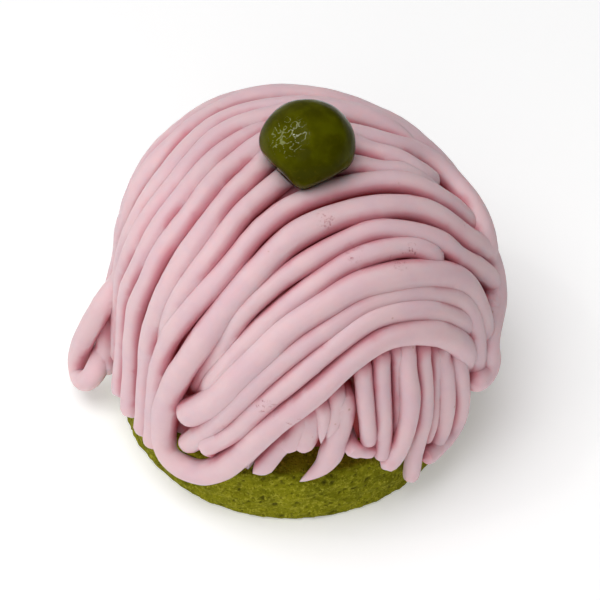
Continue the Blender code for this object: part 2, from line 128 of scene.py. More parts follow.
# The broad bumps fade out over these heights at the foot and these distances in from the rim.
SPONGE_FOOT_FADE = (0.0, 1.2)
SPONGE_RIM_FADE = (4.0, 1.0)
# Torn crumb: width of the ring that has it and heights over which it sets in, then size and noise
# shift of its bumps and their height, and spacing, noise shift and radius of its pores and their
# depth.
CRUMB_RING = 9.0
CRUMB_FADE = (0.05, 0.7)
CRUMB_MIDDLE = (1.5, (7, 2, 5))
CRUMB_MIDDLE_HEIGHT = 0.30
CRUMB_FINE = (0.6, (1, 8, 3))
CRUMB_FINE_HEIGHT = 0.16
SMALL_PORE = (1.25, (0, 0, 0), 0.36)
SMALL_PORE_DEPTH = 0.30
WIDE_PORE = (2.9, (5, 5, 1), 0.26)
WIDE_PORE_DEPTH = 0.42
# Shares of a small pore and of a low bump in the painted shade of the pores.
SMALL_PORE_SHADE = 1.2
LOW_BUMP_SHADE = 0.5
SPONGE_TOP_REACH = 0.02
# The cutter that fits the paste to the sponge: fineness, height of its foot, how far in and down
# its shoulder lies, and how far in its top starts.
CUTTER_SIDES = 120
CUTTER_HEIGHTS = 5
CUTTER_FOOT = 2.0
CUTTER_SHOULDER = (0.3, 0.5)
CUTTER_RIM = 1.4

# Bean: fineness, fine wrinkles, and creases of syrup near one direction, where glossy lines of
# syrup also get a painted highlight. Wrinkles and creases are shares of the radius, and each noise
# has its features across the ball and its shift.
BEAN_SIDES = 200
BEAN_RINGS = 130
BEAN_CUTTER_SIDES = 48
BEAN_CUTTER_RINGS = 25
BEAN_CUTTER_GAP = 0.15
BEAN_FINE_WRINKLE = 0.0035
BEAN_FINE_NOISE = (6.0, (2, 9, 4))
GLINT_DIRECTION = (-0.42, -0.42, 0.80)
GLINT_REACH = 0.62
CREASE_DEPTH = 0.010
CREASE_NOISE = (13.0, (3, 3, 8))
CREASE_NARROWNESS = 5.0
GLAZE_AND_GLINT_NOISE = (9.0, (1, 7, 4))
GLAZE_AND_GLINT_NARROWNESS = 6.0
GLAZE_AND_GLINT_STRENGTH = 2.2

# Guide lanes over the dome: azimuth and elevation of nine stations each.
LAST_STATION = 8
LANES = {
    "loop": (
        (244.8, 6), (251, 17), (260, 30), (271, 38.5), (286, 46),
        (302, 48.5), (317, 44), (325, 36.5), (331, 23.5),
    ),
    "shelf": (
        (232, 23), (241.5, 32.5), (253.5, 45), (267.5, 53.8), (285, 58.5),
        (304, 59.8), (324, 55.5), (337, 46.6), (339, 34.7),
    ),
    "brow": (
        (236, 35), (242, 47), (252, 56), (266, 63), (284, 67),
        (307, 68.5), (328, 65.5), (341, 56), (349, 43),
    ),
    "crest": (
        (223, 19), (227, 31.8), (233.5, 42.4), (244, 55), (260, 65.5),
        (288, 73), (328, 71.3), (350.5, 60.5), (354.5, 47.8),
    ),
    "ridge": (
        (218.3, 2), (218, 24), (223, 40), (231, 51.7), (243.5, 63.2),
        (262, 75), (309, 79.5), (0.5, 65), (3.2, 49.2),
    ),
    "spine": (
        (213.4, 3), (212.2, 21), (214.5, 37), (219.3, 50.3), (224.5, 67),
        (213, 82), (60, 79), (28, 65), (26, 57),
    ),
    "flank": (
        (181, 2), (181, 16), (183, 34), (189, 52), (177, 66),
        (128, 71), (75, 69), (42, 58), (20, 38),
    ),
    "shoulder": (
        (166, -3), (167, 14), (169, 33), (166, 50), (146, 60),
        (106, 59), (70, 55), (42, 44), (25, 22),
    ),
    "back": (
        (128, -5), (128, 7), (126, 20), (118, 30), (104, 34),
        (84, 33), (64, 28), (50, 16), (44, -2),
    ),
}

# Lower strands at the sides: their width and then what drop_route takes.
SIDE_DROPS = (
    (1.0, 172, 173, 36, 0, -1.8, -0.4, -3),
    (1.0, 182, 181, 42, 1, -1.8, -0.4, 3),
    (0.9, 334, 335, 34, 14, -2.6, -2.2, 1),
    (0.9, 342, 343, 30, 11, -2.4, -2.0, -1),
    (1.0, 350, 351, 30, 6, -2.2, -1.2, 2),
    (1.0, 358, 358, 44, 2, -2.2, -0.9, 3),
    (1.0, 5, 4, 52, -2, -2.0, -0.4, 3),
)

# Each lower strand at the front starts at a root in the heart, so much above its first stop and at
# this lift, which is 2.2 mm deeper than in the solids.
FRONT_ROOT_RISE = 5.0
FRONT_ROOT_LIFT = -8.8
# Lower strands at the front: width, length of the pointed tip, and azimuth, elevation and lift of
# each stop.
FRONT_STRANDS = (
    (0.85, 3.0, ((265, 25, -2.6), (260, 17.5, -1.6), (257, 11, -1.2), (254, 6, -1.0))),
    (0.90, 0.0, ((269, 33, -2.8), (267.5, 27, -1.8), (265, 22, -1.4), (262.5, 19.4, -1.2))),
    (1.00, 0.0, ((272.5, 35, -2.8), (271, 28.5, -1.8), (269, 22.6, -1.4), (266.8, 19.4, -1.2))),
    (0.62, 6.0, ((275, 37, -2.0), (275.5, 32, -1.4), (274.5, 27, -1.0), (274, 22, -1.0))),
    (0.75, 4.0, ((280, 40, -2.2), (279.5, 35, -1.8), (278, 30, -1.6), (276, 23, -1.6))),
    (1.00, 8.0, ((281.7, 37, -2.4), (281, 31, -1.9), (279.6, 24, -1.5), (278, 17, -1.2),
                 (275.6, 11, -1.0), (272, 7, -0.8), (269, 4, -0.8))),
    (0.72, 0.0, ((283.5, 19, -1.3), (287, 16.5, -1.3), (291.5, 14, -1.5))),
    (0.74, 0.0, ((290.7, 45, -2.1), (290, 41, -1.6), (289, 34, -1.3), (288.7, 25, -1.2),
                 (288.8, 18, -1.2))),
    (0.74, 0.0, ((298, 46, -2.1), (296.5, 42, -1.6), (295, 36, -1.4), (294.2, 27.5, -1.3),
                 (293.6, 18, -1.2), (293.4, 10, -1.0))),
    (0.60, 0.0, ((304, 46, -2.5), (303, 42, -2.2), (300.5, 33, -2.2), (299.6, 24, -2.0),
                 (299.4, 15, -1.8))),
    (0.80, 0.0, ((307.8, 46, -1.8), (306.3, 43, -0.9), (304, 38, -0.5), (302.8, 30, -0.4),
                 (300.8, 21, -0.4), (299, 15, -0.3), (297, 10, -0.2), (293.5, 7, 0.0))),
    (0.72, 0.0, ((313, 43, -2.1), (310.6, 38, -1.4), (309, 31, -1.1), (308, 22, -1.0),
                 (306.8, 11, -0.9), (306.4, 2, -0.8), (307.6, -9, -0.8))),
    (0.60, 0.0, ((317.7, 40, -2.7), (314.5, 27, -2.4), (313, 13, -2.0), (311, 5, -1.8))),
    (0.86, 0.0, ((320.7, 39, -2.3), (319, 35, -1.6), (318.2, 25, -1.3), (318.2, 14, -1.2),
                 (317.4, 5, -1.0), (314.7, -1, -0.9))),
    (0.88, 0.0, ((325.2, 35, -2.2), (324, 31.5, -1.2), (324.2, 23, -0.7), (325, 11, -0.5),
                 (323.8, 3, -0.4), (320, 0.5, -0.3), (314.7, 0, -0.1), (309, 0.5, 0.2))),
)

# The regular row of lower strands at the back, and how far its strands vary.
BACK_DROPS_FROM = 48
BACK_DROPS_TO = 126
BACK_DROP_PITCH = 7.8
BACK_DROP_TOP = 36
BACK_DROP_LIFTS = (-2.4, -0.6)
BACK_DROP_FOOT_SPREAD = 8
BACK_DROP_HOOK_SPREAD = 7
BACK_DROP_SLANT_SPREAD = 2
# Stations of a lower strand, and how late its hook and how early its fall come. Points of the fine
# curve between two stations of any strand.
DROP_STATIONS = 5
DROP_HOOK_POWER = 4
DROP_FALL_POWER = 1.25
ROUTE_FINENESS = 16

# Colours of the paste, and the painted shade that darkens and reddens it in grooves, recesses and
# deep parts: attribute, range over which the shade comes in, and its colour.
PASTE_COLOURS = ((0.72, 0.51, 0.555), (0.76, 0.55, 0.575))
PASTE_PAINTED_SHADES = (
    ("groove_shade", 0.04, 0.50, (0.63, 0.27, 0.315)),
    ("crowd_shade", 0.42, 0.76, (0.58, 0.21, 0.25)),
    ("crowd_shade", 0.72, 0.96, (0.46, 0.055, 0.065)),
    ("depth", 4.6, 6.6, (0.44, 0.050, 0.055)),
)
SPECK_SPACING = 3.1
SPECK_COLOUR = (0.50, 0.27, 0.20)
SPECK_SHARE = 0.6
TORN_COLOUR = (0.46, 0.17, 0.19)
TORN_SHARE = 0.8
# Colours of the sponge, and what tints it: range, strongest share and tint. The pores' tint is
# painted shade in the pits and low bumps.
SPONGE_COLOURS = ((0.150, 0.150, 0.003), (0.230, 0.225, 0.006))
SPONGE_TINTS = {
    "streak": (0.42, 0.70, 0.8, (0.30, 0.29, 0.014)),
    "speckle": (0.50, 0.66, 0.8, (0.40, 0.38, 0.035)),
    "fine": (0.50, 0.70, 0.8, (0.080, 0.078, 0.002)),
    "pore_shade": (0.15, 0.9, 0.85, (0.055, 0.050, 0.003)),
}
BEAN_COLOURS = ((0.044, 0.043, 0.0004), (0.072, 0.074, 0.0006))
BEAN_BROWN = (0.10, 0.080, 0.002)
BEAN_BROWN_SHARE = 0.3
# Painted highlight: pale lines mixed into the bean's colour near the glint direction.
PAINTED_GLINT_COLOUR = (0.42, 0.45, 0.20)
PAINTED_GLINT_SHARE = 0.36
FLOOR_COLOURS = ((0.90, 0.90, 0.90), (0.92, 0.92, 0.92))
FLOOR_GLOW = 0.25

# Stage, in metres and watts. Each light has its place, its width and its power. The world's light
# falls off from the left to the right.
FLOOR_HALF = 3.0
LIGHT_TARGET = (0.0, 0.0, 0.03)
LIGHTS = (
    ("key", (-0.12, -0.08, 0.60), 0.50, 2.25),
    ("glint", (-0.28, -0.02, 0.53), 0.03, 0.12),
    ("front", (-0.12, -0.62, 0.45), 0.55, 0.95),
)
WORLD_LEFT = 0.52
WORLD_RIGHT = 0.0
CAMERA_TARGET = (0.0014, 0.0, 0.022)
CAMERA_DISTANCE = 0.45
CAMERA_ELEVATION = 50.0
CAMERA_LENS = 162.0
CAMERA_SENSOR = 36.0
CAMERA_CLIP = 0.01


def smoothstep(low, high, value):
    """A smooth rise from 0 to 1 as a value goes from low to high."""
    share = np.clip((value - low) / (high - low), 0.0, 1.0)
    return share * share * (3.0 - 2.0 * share)


def direction(azimuth, elevation):
    """Unit vector of an azimuth from +X and an elevation."""
    turn = np.radians(azimuth)
    rise = np.radians(elevation)
    flat = np.cos(rise)
    return np.stack((flat * np.cos(turn), flat * np.sin(turn), np.sin(rise)), axis=-1)


def unit(vectors):
    """Vectors at a length of one."""
    return vectors / np.maximum(np.linalg.norm(vectors, axis=-1, keepdims=True), 1e-12)


def dome_radius(ways, depth):
    """Distance from the dome's heart, along each direction, to a depth below its surface."""
    flat = np.hypot(ways[..., 0], ways[..., 1])
    reach = np.where(ways[..., 2] >= 0.0, DOME_RISE, DOME_DROP) - depth
    power = DOME_SQUARENESS
    size = (flat / (DOME_RADIUS - depth)) ** power + (np.abs(ways[..., 2]) / reach) ** power
    return size ** (-1.0 / power)


def dome_axis(height):
    """Where the leaning dome's axis is in X at a height."""
    return DOME_SIDE_STEP - DOME_LEAN * (height - DOME_SIDE_STEP_HEIGHT) ** 2


def dome_points(ways, depth):
    """Points in millimetres at a depth below the dome's surface."""
    points = ways * dome_radius(ways, depth)[..., None]
    points[..., 2] += DOME_HEART
    points[..., 0] += dome_axis(points[..., 2])
    return points


def dome_depth(points):
    """How far below the dome's surface each point lies, in millimetres."""
    from_heart = points - np.array((0.0, 0.0, DOME_HEART))
    from_heart[:, 0] -= dome_axis(points[:, 2])
    ways = unit(from_heart)
    return dome_radius(ways, np.zeros(len(points))) - np.linalg.norm(from_heart, axis=1)


def places(*stops):
    """Directions and lifts of a strand's loose stretch, from azimuth, elevation and lift."""
    return [(direction(turn, rise), lift) for turn, rise, lift in stops]


def lane(low, high=None, shares=(0.0, 0.0), first=0, last=LAST_STATION, lifts=(0.0, 0.0)):
    """Directions and lifts of a stretch along a guide lane, or between two lanes."""
    route = []
    for station in range(first, last + 1):
        along = station / LAST_STATION
        way = direction(*LANES[low][station])
        if high is not None:
            share = shares[0] + (shares[1] - shares[0]) * along
            way = unit(way * (1.0 - share) + direction(*LANES[high][station]) * share)
        route.append((way, lifts[0] + (lifts[1] - lifts[0]) * along))
    return route


def outer_strands():
    """Width, tip length and route of every outer strand, from the front to the back."""
    knob = places((327, 20.4, 0.9), (330.5, 18.8, 1.4), (334, 18, 1.6), (337, 20, 1.6),
                  (338.5, 25, 1.2), (343.7, 27.5, 1.0), (352.2, 29.5, 0.8), (0.5, 36.5, 0.4))
    turn = places((222.3, 8, 0.3), (223.2, 1.5, 0.3), (226.5, -2.2, 0.3), (232.3, -3.0, 0.3),
                  (239.2, -0.8, 0.3))
    return [
        (1.12, 0.0, knob + lane("crest", lifts=(0.3, 0.3))[::-1] + turn
            + lane("loop", last=7, lifts=(0.3, 0.2))
            + places((328, 30.6, -0.4), (330.5, 25, -1.4), (333.5, 19, -2.6))),
        (0.92, 5.0, places((333.7, 33.8, -2.2)) + lane("loop", "shelf", (0.42, 0.38), 0, 7)[::-1]
            + places((242.8, 8, -1.4))),
        (0.92, 0.0, places((228, 5.6, -1.6), (232, 8.6, -1.0))
            + lane("loop", "shelf", (0.74, 0.66), 1, 6, (0, -0.5))
            + places((331.2, 45.5, -0.2), (333.6, 40.6, 0), (333.8, 35.7, 0), (333, 29.4, 0),
                     (332.8, 20.4, 0), (331.5, 14.7, 0))),
        (1.22, 0.0, places((229.5, 21, -0.4)) + lane("shelf", lifts=(0.2, 0.5))
            + places((340, 27, 0.1), (345, 15, 0.0))),
        (0.88, 0.0, places((231.5, 25.7, -4.0), (235.8, 32.1, -2.8))
            + lane("shelf", "brow", (0.45, 0.55), 1, 5, (-1.2, 0.3))
            + places((328.8, 60.1, 0.2), (334.9, 55.9, 0.0), (336.6, 53.3, -1.2))),
        (0.88, 0.0, places((224, 19, -5.0), (228.4, 28.2, -3.8), (234.4, 37.9, -2.8),
                           (241.9, 45.7, -1.8))
            + lane("brow", first=2, last=7, lifts=(-0.9, 0.3))
            + places((344.2, 49.4, 0.1), (349.2, 42.9, 0.1), (354.5, 34.3, 0.3),
                     (352.9, 30.2, 0.3), (345.7, 31.3, 0.0))),
        (0.95, 0.0, places((219, -4, 0.3)) + lane("ridge")
            + places((3.2, 43, 0), (4, 38.5, -0.5), (6, 33, -1.6))),
        (0.95, 0.0, places((217.5, 28, -2.8), (219.6, 38, -1.6))
            + lane("ridge", "spine", (0.5, 0.5), 3, 6)
            + places((7.4, 74.7, 0), (6, 69, 0), (8.5, 64.5, 0), (8, 61, -0.5), (9, 56, -1.9))),
        (1.0, 0.0, places((214.5, -3, 0.3)) + lane("spine")
            + places((20, 52, 0.6), (13, 48.7, 1.2), (7, 46, 1.6), (2, 43.6, 1.6), (0, 40.5, 1.0),
                     (1, 37, 0.0))),
        (0.97, 0.0, places((206, -4, 0.3)) + lane("spine", "flank", (0.31, 0.29), 0, 6)
            + places((40, 74, 0), (21, 70, 0), (17, 64.5, 0), (13.5, 60, -0.2),
                     (14.5, 55.5, -1.4))),
        (0.97, 0.0, places((197.5, -4, 0.3)) + lane("spine", "flank", (0.56, 0.52), 0, 5)
            + places((90, 76, -1.5), (60, 76, -3))),
        (1.0, 0.0, lane("spine", "flank", (0.79, 0.77), 0, 7) + places((22, 54, -2.4))),
        (1.0, 0.0, places((178, 16, 0.4), (180, 8, 1.4), (184, 1, 2.8), (188, -2, 4.2),
                          (187, -6, 5.4), (183, -7, 6.2), (181, -1, 6.4), (183, 11, 5.2),
                          (186, 24, 3.2))
            + lane("flank", first=2) + places((15, 18, 0), (16, 0, 0))),
        (1.0, 0.0, places((188, -4, 1.6), (184, 2, 2.2), (181, 12, 2.2), (178, 22, 1.2))
            + lane("flank", "shoulder", (0.62, 0.62), 2) + places((22, 12, 0), (23, -3, 0))),
        (1.0, 0.0, lane("shoulder") + places((28, 6, 0), (30, -4, 0))),
        (1.0, 0.0, lane("shoulder", "back", (0.2, 0.2))),
        (1.0, 0.0, lane("shoulder", "back", (0.4, 0.4)) + places((34, -3, 0))),
        (1.0, 0.0, lane("shoulder", "back", (0.6, 0.6)) + places((37, -5, 0))),
        (1.0, 0.0, lane("shoulder", "back", (0.8, 0.8))),
        (1.0, 0.0, lane("back")),
    ]


def drop_route(start, end, top, foot, top_lift, foot_lift, hook):
    """Directions and lifts of a strand that drops between two azimuths and hooks at its foot."""
    route = []
    for station in range(DROP_STATIONS):
        share = station / (DROP_STATIONS - 1)
        turn = start + (end - start) * share + hook * share ** DROP_HOOK_POWER
        rise = top + (foot - top) * (1.0 - (1.0 - share) ** DROP_FALL_POWER)
        lift = top_lift + (foot_lift - top_lift) * share
        route.append((direction(turn, rise), lift))
    return route


def lower_strands():
    """The lower strands: listed ones at the sides and front, and a regular row at the back."""
    strands = [(width, 0.0, drop_route(*drop)) for width, *drop in SIDE_DROPS]
    for width, tip, stops in FRONT_STRANDS:
        azimuth, elevation, _ = stops[0]
        root = (azimuth, elevation + FRONT_ROOT_RISE, FRONT_ROOT_LIFT)
        strands.append((width, tip, places(root, *stops)))
    chance = random.Random(SEED)
    turn = BACK_DROPS_FROM
    while turn < BACK_DROPS_TO:
        foot = chance.uniform(-BACK_DROP_FOOT_SPREAD, BACK_DROP_FOOT_SPREAD)
        hook = chance.uniform(-BACK_DROP_HOOK_SPREAD, BACK_DROP_HOOK_SPREAD)
        slant = chance.uniform(-BACK_DROP_SLANT_SPREAD, BACK_DROP_SLANT_SPREAD)
        route = drop_route(turn, turn + slant, BACK_DROP_TOP, foot, *BACK_DROP_LIFTS, hook)
        strands.append((1.0, 0.0, route))
        turn += BACK_DROP_PITCH
    return strands


def length_along(points):
    """Length of a line of points up to each of them."""
    return np.concatenate(([0.0], np.cumsum(np.linalg.norm(np.diff(points, axis=0), axis=1))))


def route_points(route, radius, step):
    """Evenly spaced points, in millimetres, along the smooth curve that a route describes."""
    ways = np.array([route[0][0]] + [way for way, _ in route] + [route[-1][0]])
    lifts = np.array([route[0][1]] + [lift for _, lift in route] + [route[-1][1]])
    values = np.column_stack((ways, lifts))
    share = (np.arange(ROUTE_FINENESS) / ROUTE_FINENESS)[:, None]
    pieces = []
    for index in range(1, len(values) - 2):
        before, start, end, after = values[index - 1:index + 3]
        pieces.append(0.5 * (2.0 * start + (end - before) * share
                             + (2.0 * before - 5.0 * start + 4.0 * end - after) * share ** 2
                             + (3.0 * start - before - 3.0 * end + after) * share ** 3))
    pieces.append(values[-2:-1])
    dense = np.concatenate(pieces)
    points = dome_points(unit(dense[:, :3]), radius - dense[:, 3])
    reach = length_along(points)
    count = max(2, round(reach[-1] / step))
    wanted = np.linspace(0.0, reach[-1], count + 1)
    return np.column_stack([np.interp(wanted, reach, points[:, axis]) for axis in range(3)])


def ring_faces(rings, sides):
    """Faces of stacked rings of vertices, closed by two tip vertices that follow them."""
    faces = []
    for ring in range(rings - 1):
        low = ring * sides
        for index in range(sides):
            after = (index + 1) % sides
            faces.append((low + index, low + after, low + after + sides, low + index + sides))
    top = (rings - 1) * sides
    for index in range(sides):
        after = (index + 1) % sides
        faces.append((rings * sides, after, index))
        faces.append((rings * sides + 1, top + index, top + after))
    return faces


def tube_mesh(points, radius, tip, chance):
    """Vertices and faces of one strand: round, a little uneven, with rounded ends."""
    count = len(points)
    along = unit(np.gradient(points, axis=0))
    outward = unit(points - np.array((DOME_SIDE_STEP, 0.0, DOME_HEART)))
    side = unit(np.cross(along, outward))
    up = np.cross(side, along)
    distance = length_along(points)
    shift_side = np.zeros(count)
    shift_up = np.zeros(count)
    swell = np.zeros(count)
    for length in STRAND_WAVES:
        size = WOBBLE * length / STRAND_WAVES[0]
        turns = distance * math.tau / length
        shift_side += size * np.sin(turns + chance.uniform(0, WAVE_START))
        shift_up += size * np.sin(turns + chance.uniform(0, WAVE_START))
        swell += SWELL * np.sin(turns + chance.uniform(0, WAVE_START))
    middle = points + side * shift_side[:, None] + up * shift_up[:, None]
    from_end = np.minimum(distance, distance[-1] - distance)
    share = np.clip(from_end / (radius * END_LENGTH), 0.0, 1.0)
    roundness = np.sqrt(np.clip(1.0 - (1.0 - share) ** 2, END_LEAST, 1.0))
    if tip > 0.0:
        roundness *= np.clip((distance[-1] - distance) / tip, TIP_LEAST, 1.0) ** TIP_POWER
    size = radius * (1.0 + swell) * roundness
    corner = (np.arange(STRAND_SIDES) * math.tau / STRAND_SIDES)[None, :, None]
    ring = np.cos(corner) * up[:, None, :] + np.sin(corner) * side[:, None, :]
    vertices = (middle[:, None, :] + ring * size[:, None, None]).reshape(-1, 3)
    vertices = np.concatenate((vertices, middle[:1], middle[-1:]))
    return vertices, ring_faces(count, STRAND_SIDES)


def core_mesh():
    """Vertices and faces of the paste's solid heart."""
    floor = SPONGE_HEIGHT + CORE_FLOOR_GAP
    azimuth = np.arange(CORE_SIDES) * 360.0 / CORE_SIDES
    turn, rise = np.meshgrid(azimuth, np.linspace(*CORE_RISE, CORE_RINGS))
    depth = np.full(turn.shape, CORE_DEPTH)
    for low, high, top, opening in CORE_WINDOWS:
        inside = smoothstep(low, low + CORE_WINDOW_EDGE, turn)
        inside = inside * (1.0 - smoothstep(high - CORE_WINDOW_EDGE, high, turn))
        inside = inside * (1.0 - smoothstep(top - CORE_WINDOW_EDGE, top, rise))
        depth = np.maximum(depth, CORE_DEPTH + (opening - CORE_DEPTH) * inside)
    points = dome_points(direction(turn, rise), depth)
    points[0, :, 2] = floor
    top = DOME_HEART + DOME_RISE
    tips = np.array(((0.0, 0.0, floor), (dome_axis(top), 0.0, top - CORE_DEPTH)))
    vertices = np.concatenate((points.reshape(-1, 3), tips))
    return vertices, ring_faces(CORE_RINGS, CORE_SIDES)


def new_mesh_object(name, vertices, faces):
    """A mesh object from millimetre coordinates."""
    mesh = bpy.data.meshes.new(name)
    mesh.from_pydata((np.asarray(vertices) * MM).tolist(), [], faces)
    mesh.validate()
    item = bpy.data.objects.new(name, mesh)
    bpy.context.scene.collection.objects.link(item)
    return item


def mesh_points(item):
    """The mesh's vertices in millimetres."""
    points = np.empty(len(item.data.vertices) * 3, np.float32)
    item.data.vertices.foreach_get("co", points)
    return points.reshape(-1, 3).astype(float) / MM


def set_mesh_points(item, points):
    """Move the mesh's vertices to points in millimetres."""
    item.data.vertices.foreach_set("co", (points * MM).astype(np.float32).ravel())
    item.data.update()


def mesh_normals(item):
    """Outward unit vector at each vertex."""
    normals = np.empty(len(item.data.vertices) * 3, np.float32)
    item.data.vertex_normals.foreach_get("vector", normals)
    return normals.reshape(-1, 3).astype(float)


def mesh_edges(item):
    """The two vertices of every edge."""
    edges = np.empty(len(item.data.edges) * 2, np.int32)
    item.data.edges.foreach_get("vertices", edges)
    return edges.reshape(-1, 2)


def relax(values, edges):
    """Values at the vertices, blended with those of their neighbours a few times."""
    count = len(values)
    degree = np.bincount(edges.ravel(), minlength=count).astype(float)
    for _ in range(CROWD_ROUNDS):
        total = np.bincount(edges[:, 0], weights=values[edges[:, 1]], minlength=count)
        total += np.bincount(edges[:, 1], weights=values[edges[:, 0]], minlength=count)
        values = values + CROWD_SHARE * (total / np.maximum(degree, 1.0) - values)
    return values


def apply_modifiers(item):
    """Put the result of the object's modifiers in the place of its mesh."""
    graph = bpy.context.evaluated_depsgraph_get()
    result = bpy.data.meshes.new_from_object(item.evaluated_get(graph))
    item.modifiers.clear()
    item.data = result


def keep_largest(item):
    """Drop every closed shell but the largest, so that no sealed hollow is left inside."""
    edges = mesh_edges(item)
    count = len(item.data.vertices)
    label = np.arange(count)
    while True:
        low = np.minimum(label[edges[:, 0]], label[edges[:, 1]])
        after = label.copy()
        np.minimum.at(after, edges[:, 0], low)
        np.minimum.at(after, edges[:, 1], low)
        after = after[after]
        if np.array_equal(after, label):
            break
        label = after
    kept = label == np.bincount(label).argmax()
    place = np.cumsum(kept) - 1
    points = mesh_points(item)[kept]
    faces = [tuple(place[list(face.vertices)].tolist())
             for face in item.data.polygons if kept[face.vertices[0]]]
    mesh = bpy.data.meshes.new(item.name)
    mesh.from_pydata((points * MM).tolist(), [], faces)
    item.data = mesh


def add_values(item, name, values):
    """Store one number at each vertex, for the material."""
    layer = item.data.attributes.new(name, "FLOAT", "POINT")
    layer.data.foreach_set("value", np.asarray(values, np.float32))


def noise_values(points, size, shift):
    """Smooth noise from about -1 to 1 at each point, with features of a size in millimetres."""
    place = Vector(shift)
    return np.array([noise.noise(Vector(point) / size + place) for point in points.tolist()])


def fuse(body, pieces):
    """Join all pieces to the body by one union."""
    group = bpy.data.collections.new("strands")
    bpy.context.scene.collection.children.link(group)
    for piece in pieces:
        bpy.context.scene.collection.objects.unlink(piece)
        group.objects.link(piece)
    union = body.modifiers.new("union", "BOOLEAN")
    union.operation = "UNION"
    union.operand_type = "COLLECTION"
    union.solver = "MANIFOLD"
    union.collection = group
    apply_modifiers(body)
    for piece in pieces:
        bpy.data.objects.remove(piece, do_unlink=True)
    bpy.data.collections.remove(group)


def carve(body, cutter):
    """Take a cutter's shape out of the body."""
    cut = body.modifiers.new("cut", "BOOLEAN")
    cut.operation = "DIFFERENCE"
    cut.solver = "MANIFOLD"
    cut.object = cutter
    apply_modifiers(body)
    bpy.data.objects.remove(cutter, do_unlink=True)


def triangulate(item):
    """Split every face of the mesh into triangles."""
    work = bmesh.new()
    work.from_mesh(item.data)
    bmesh.ops.triangulate(work, faces=work.faces)
    work.to_mesh(item.data)
    work.free()


def crowding(item, reach):
    """Share of the outward directions at each vertex that meet the mesh within a reach."""
    work = bmesh.new()
    work.from_mesh(item.data)
    tree = BVHTree.FromBMesh(work)
    work.free()
    points = mesh_points(item) * MM
    normals = mesh_normals(item)
    chance = random.Random(SEED + 2)
    rays = []
    for _ in range(CROWD_RAYS):
        turn = chance.uniform(0.0, math.tau)
        flat = math.sqrt(chance.random())
        height = math.sqrt(1.0 - flat * flat)
        rays.append(Vector((flat * math.cos(turn), flat * math.sin(turn), height)))
    hits = np.zeros(len(points))
    starts = points + normals * (CROWD_START * MM)
    for row, (start, normal) in enumerate(zip(starts.tolist(), normals.tolist())):
        start = Vector(start)
        turned = Vector(normal).to_track_quat("Z", "Y")
        found = [tree.ray_cast(start, turned @ ray, reach * MM)[0] for ray in rays]
        hits[row] = sum(place is not None for place in found)
    return hits / CROWD_RAYS


def make_paste():
    """The mound of strands as one closed mesh."""
    chance = random.Random(SEED)
    wobble = random.Random(SEED + 1)
    item = new_mesh_object("strand_mound", *core_mesh())
    pieces = []
    for index, (width, tip, route) in enumerate(outer_strands() + lower_strands()):
        radius = STRAND_RADIUS * width * chance.uniform(*STRAND_RADIUS_SPREAD)
        strand = tube_mesh(route_points(route, radius, STRAND_STEP), radius, tip, wobble)
        pieces.append(new_mesh_object(f"strand_{index}", *strand))
    fuse(item, pieces)
    carve(item, sponge_cutter())
    carve(item, bean_cutter())
    triangulate(item)
    keep_largest(item)
    points = mesh_points(item)
    grain = GRAIN_HEIGHT * noise_values(points, GRAIN_SIZE, GRAIN_SHIFT)
    points = points + mesh_normals(item) * grain[:, None]
    set_mesh_points(item, points)
    crumbs = np.zeros(len(points))
    for azimuth, elevation in CRUMB_SPOTS:
        spot = dome_points(direction(azimuth, elevation), CRUMB_SPOT_DEPTH)
        distance = np.linalg.norm(points - spot, axis=1)
        crumbs = np.maximum(crumbs, 1.0 - distance / CRUMB_SPOT_RADIUS)
    add_values(item, "crumbs", crumbs)
    # Depth below the dome, for the painted shade of the paste's deep parts.
    add_values(item, "depth", dome_depth(points))
    # Painted shade: how shut in each vertex is, to darken and redden the grooves and recesses.
    for name, reach in CROWD_REACHES.items():
        add_values(item, name, relax(crowding(item, reach), mesh_edges(item)))
    item.data.shade_smooth()
    item.data.set_sharp_from_angle(angle=math.radians(SHARP_ANGLE))
    return item


def sponge_profile():
    """Radius and height along the sponge's outline, from the underside's middle to the top's."""
    foot = SPONGE_FOOT_ROUND
    rim = SPONGE_RIM_ROUND
    outline = []
    for radius in np.linspace(0.0, SPONGE_RADIUS - rim, SPONGE_RINGS["under"]):
        outline.append((radius, 0.0))
    for angle in np.radians(np.linspace(0.0, 90.0, SPONGE_RINGS["foot"])):
        outline.append((SPONGE_RADIUS - foot * (1.0 - math.sin(angle)),
                        foot * (1.0 - math.cos(angle))))
    for height in np.linspace(SPONGE_SIDE_START, SPONGE_HEIGHT - SPONGE_RIM_REACH,
                              SPONGE_RINGS["side"]):
        middle = 1.0 - ((height - SPONGE_HEIGHT / 2.0) / (SPONGE_HEIGHT / 2.0)) ** 2
        outline.append((SPONGE_RADIUS + SPONGE_BULGE * middle, height))
    for angle in np.radians(np.linspace(0.0, 90.0, SPONGE_RINGS["rim"])):
        outline.append((SPONGE_RADIUS - rim * (1.0 - math.cos(angle)),
                        SPONGE_HEIGHT - rim * (1.0 - math.sin(angle))))
    for radius in np.linspace(SPONGE_RADIUS - SPONGE_RIM_REACH, 0.0, SPONGE_RINGS["top"]):
        outline.append((radius, SPONGE_HEIGHT))
    return outline


def lathe_mesh(outline, sides):
    """Points and faces of an outline turned round the upright axis."""
    outline = np.array(outline)
    angle = np.arange(sides) * math.tau / sides
    radius = outline[1:-1, 0][:, None]
    height = np.repeat(outline[1:-1, 1][:, None], sides, axis=1)
    points = np.stack((radius * np.cos(angle), radius * np.sin(angle), height), axis=-1)
    tips = np.array(((0.0, 0.0, outline[0, 1]), (0.0, 0.0, outline[-1, 1])))
    points = np.concatenate((points.reshape(-1, 3), tips))
    return points, ring_faces(len(outline) - 2, sides)


